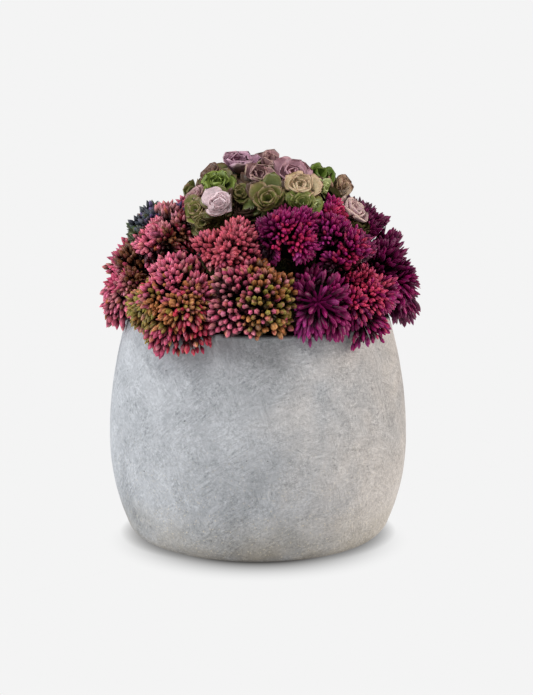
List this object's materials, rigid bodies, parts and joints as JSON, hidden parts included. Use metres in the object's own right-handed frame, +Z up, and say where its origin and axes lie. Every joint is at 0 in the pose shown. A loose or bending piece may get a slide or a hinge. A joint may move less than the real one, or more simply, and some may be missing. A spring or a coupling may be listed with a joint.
{
  "type": "planted pot",
  "caption": "Round belly-shaped cement pot holding a lift-out foam insert planted with pull-out artificial sedum picks and succulent rosette sprays.",
  "frame": {"origin": "on the pot's vertical axis, at the flat face that it stands on", "axes": "+Z up along the pot's axis; front towards -Y, with the pink sedum on the -X side and the purple sedum on the +X side"},
  "size_m": [0.2665, 0.2724, 0.3306],
  "materials": {
    "cement": "matte",
    "rubber": "matte",
    "foam": "matte",
    "moss": "matte",
    "stem": "satin",
    "pink_buds": "satin",
    "gold_buds": "satin",
    "magenta_buds": "satin",
    "purple_buds": "satin",
    "violet_buds": "satin",
    "bright_green_leaf": "satin",
    "green_leaf": "satin",
    "pale_green_leaf": "satin",
    "olive_leaf": "satin",
    "tan_leaf": "satin",
    "brown_leaf": "satin",
    "mauve_leaf": "satin",
    "pale_pink_leaf": "satin",
    "cream_leaf": "satin"
  },
  "bodies": {
    "pot": {"pot_shell": "cement", "drain_plug": "rubber"},
    "insert": {"foam_block": "foam", "moss_cover": "moss"},
    "pick_pink_left": {"pick_pink_left": "pink_buds"},
    "pick_pink_front_left": {"pick_pink_front_left": "pink_buds"},
    "pick_gold_front": {"pick_gold_front": "gold_buds"},
    "pick_magenta_front": {"pick_magenta_front": "magenta_buds"},
    "pick_magenta_front_right": {"pick_magenta_front_right": "magenta_buds"},
    "pick_purple_right": {"pick_purple_right": "purple_buds"},
    "pick_purple_back_right": {"pick_purple_back_right": "purple_buds"},
    "pick_magenta_back": {"pick_magenta_back": "magenta_buds"},
    "pick_gold_back": {"pick_gold_back": "gold_buds"},
    "pick_pink_back_left": {"pick_pink_back_left": "pink_buds"},
    "pick_pink_upper_left": {"pick_pink_upper_left": "pink_buds"},
    "pick_pink_upper_front": {"pick_pink_upper_front": "pink_buds"},
    "pick_magenta_upper_front": {"pick_magenta_upper_front": "magenta_buds"},
    "pick_magenta_upper_right": {"pick_magenta_upper_right": "magenta_buds"},
    "pick_magenta_small": {"pick_magenta_small": "magenta_buds"},
    "pick_purple_upper_right": {"pick_purple_upper_right": "purple_buds"},
    "pick_magenta_upper_back": {"pick_magenta_upper_back": "magenta_buds"},
    "pick_purple_upper_back": {"pick_purple_upper_back": "purple_buds"},
    "pick_pink_upper_back": {"pick_pink_upper_back": "pink_buds"},
    "pick_violet_left": {"pick_violet_left": "violet_buds"},
    "spray_left": {"spray_left_stem": "stem", "spray_left_rosette_1": "bright_green_leaf", "spray_left_rosette_2": "olive_leaf", "spray_left_rosette_3": "pale_pink_leaf", "spray_left_rosette_4": "olive_leaf", "spray_left_rosette_5": "olive_leaf"},
    "spray_front": {"spray_front_stem": "stem", "spray_front_rosette_1": "green_leaf", "spray_front_rosette_2": "mauve_leaf", "spray_front_rosette_3": "olive_leaf", "spray_front_rosette_4": "olive_leaf"},
    "spray_right": {"spray_right_stem": "stem", "spray_right_rosette_1": "mauve_leaf", "spray_right_rosette_2": "cream_leaf", "spray_right_rosette_3": "green_leaf", "spray_right_rosette_4": "olive_leaf", "spray_right_rosette_5": "pale_green_leaf"},
    "spray_single": {"spray_single_stem": "stem", "spray_single_rosette_1": "mauve_leaf"},
    "spray_back_right": {"spray_back_right_stem": "stem", "spray_back_right_rosette_1": "green_leaf", "spray_back_right_rosette_2": "tan_leaf", "spray_back_right_rosette_3": "olive_leaf", "spray_back_right_rosette_4": "mauve_leaf", "spray_back_right_rosette_5": "pale_green_leaf"},
    "spray_back_left": {"spray_back_left_stem": "stem", "spray_back_left_rosette_1": "mauve_leaf", "spray_back_left_rosette_2": "pale_pink_leaf", "spray_back_left_rosette_3": "brown_leaf", "spray_back_left_rosette_4": "olive_leaf", "spray_back_left_rosette_5": "green_leaf", "spray_back_left_rosette_6": "olive_leaf"}
  },
  "joints": [
    {"name": "insert_lift", "type": "slide", "parent": "pot", "child": "insert", "axis": [0, 0, 1], "range_m": [0, 0.22]},
    {"name": "pull_pink_left", "type": "slide", "parent": "insert", "child": "pick_pink_left", "axis": [-0.8067, -0.1422, 0.5736], "range_m": [0, 0.07]},
    {"name": "pull_pink_front_left", "type": "slide", "parent": "insert", "child": "pick_pink_front_left", "axis": [-0.469, -0.6953, 0.5446], "range_m": [0, 0.07]},
    {"name": "pull_gold_front", "type": "slide", "parent": "insert", "child": "pick_gold_front", "axis": [0.0444, -0.8469, 0.5299], "range_m": [0, 0.07]},
    {"name": "pull_magenta_front", "type": "slide", "parent": "insert", "child": "pick_magenta_front", "axis": [0.3807, -0.7473, 0.5446], "range_m": [0, 0.07]},
    {"name": "pull_magenta_front_right", "type": "slide", "parent": "insert", "child": "pick_magenta_front_right", "axis": [0.6698, -0.5047, 0.5446], "range_m": [0, 0.07]},
    {"name": "pull_purple_right", "type": "slide", "parent": "insert", "child": "pick_purple_right", "axis": [0.7986, 0, 0.6018], "range_m": [0, 0.07]},
    {"name": "pull_purple_back_right", "type": "slide", "parent": "insert", "child": "pick_purple_back_right", "axis": [0.6257, 0.5439, 0.5592], "range_m": [0, 0.07]},
    {"name": "pull_magenta_back", "type": "slide", "parent": "insert", "child": "pick_magenta_back", "axis": [0.1724, 0.8109, 0.5592], "range_m": [0, 0.07]},
    {"name": "pull_gold_back", "type": "slide", "parent": "insert", "child": "pick_gold_back", "axis": [-0.3634, 0.7451, 0.5592], "range_m": [0, 0.07]},
    {"name": "pull_pink_back_left", "type": "slide", "parent": "insert", "child": "pick_pink_back_left", "axis": [-0.7451, 0.3634, 0.5592], "range_m": [0, 0.07]},
    {"name": "pull_pink_upper_left", "type": "slide", "parent": "insert", "child": "pick_pink_upper_left", "axis": [-0.5283, -0.2577, 0.809], "range_m": [0, 0.07]},
    {"name": "pull_pink_upper_front", "type": "slide", "parent": "insert", "child": "pick_pink_upper_front", "axis": [-0.2049, -0.595, 0.7771], "range_m": [0, 0.07]},
    {"name": "pull_magenta_upper_front", "type": "slide", "parent": "insert", "child": "pick_magenta_upper_front", "axis": [0.1635, -0.5348, 0.829], "range_m": [0, 0.07]},
    {"name": "pull_magenta_upper_right", "type": "slide", "parent": "insert", "child": "pick_magenta_upper_right", "axis": [0.5147, -0.4474, 0.7314], "range_m": [0, 0.07]},
    {"name": "pull_magenta_small", "type": "slide", "parent": "insert", "child": "pick_magenta_small", "axis": [0.4113, -0.31, 0.8572], "range_m": [0, 0.07]},
    {"name": "pull_purple_upper_right", "type": "slide", "parent": "insert", "child": "pick_purple_upper_right", "axis": [0.587, 0.0308, 0.809], "range_m": [0, 0.07]},
    {"name": "pull_magenta_upper_back", "type": "slide", "parent": "insert", "child": "pick_magenta_upper_back", "axis": [0.412, 0.4575, 0.788], "range_m": [0, 0.07]},
    {"name": "pull_purple_upper_back", "type": "slide", "parent": "insert", "child": "pick_purple_upper_back", "axis": [0, 0.6157, 0.788], "range_m": [0, 0.07]},
    {"name": "pull_pink_upper_back", "type": "slide", "parent": "insert", "child": "pick_pink_upper_back", "axis": [-0.3957, 0.4716, 0.788], "range_m": [0, 0.07]},
    {"name": "pull_violet_left", "type": "slide", "parent": "insert", "child": "pick_violet_left", "axis": [-0.6081, 0.0963, 0.788], "range_m": [0, 0.07]},
    {"name": "pull_spray_left", "type": "slide", "parent": "insert", "child": "spray_left", "axis": [-0.2351, -0.3121, 0.9205], "range_m": [0, 0.09]},
    {"name": "pull_spray_front", "type": "slide", "parent": "insert", "child": "spray_front", "axis": [0, -0.3584, 0.9336], "range_m": [0, 0.09]},
    {"name": "pull_spray_right", "type": "slide", "parent": "insert", "child": "spray_right", "axis": [0.2406, -0.3079, 0.9205], "range_m": [0, 0.09]},
    {"name": "pull_spray_single", "type": "slide", "parent": "insert", "child": "spray_single", "axis": [0.4925, -0.1506, 0.8572], "range_m": [0, 0.09]},
    {"name": "pull_spray_back_right", "type": "slide", "parent": "insert", "child": "spray_back_right", "axis": [0.3104, 0.1792, 0.9336], "range_m": [0, 0.09]},
    {"name": "pull_spray_back_left", "type": "slide", "parent": "insert", "child": "spray_back_left", "axis": [-0.1385, 0.1773, 0.9744], "range_m": [0, 0.09]}
  ]
}
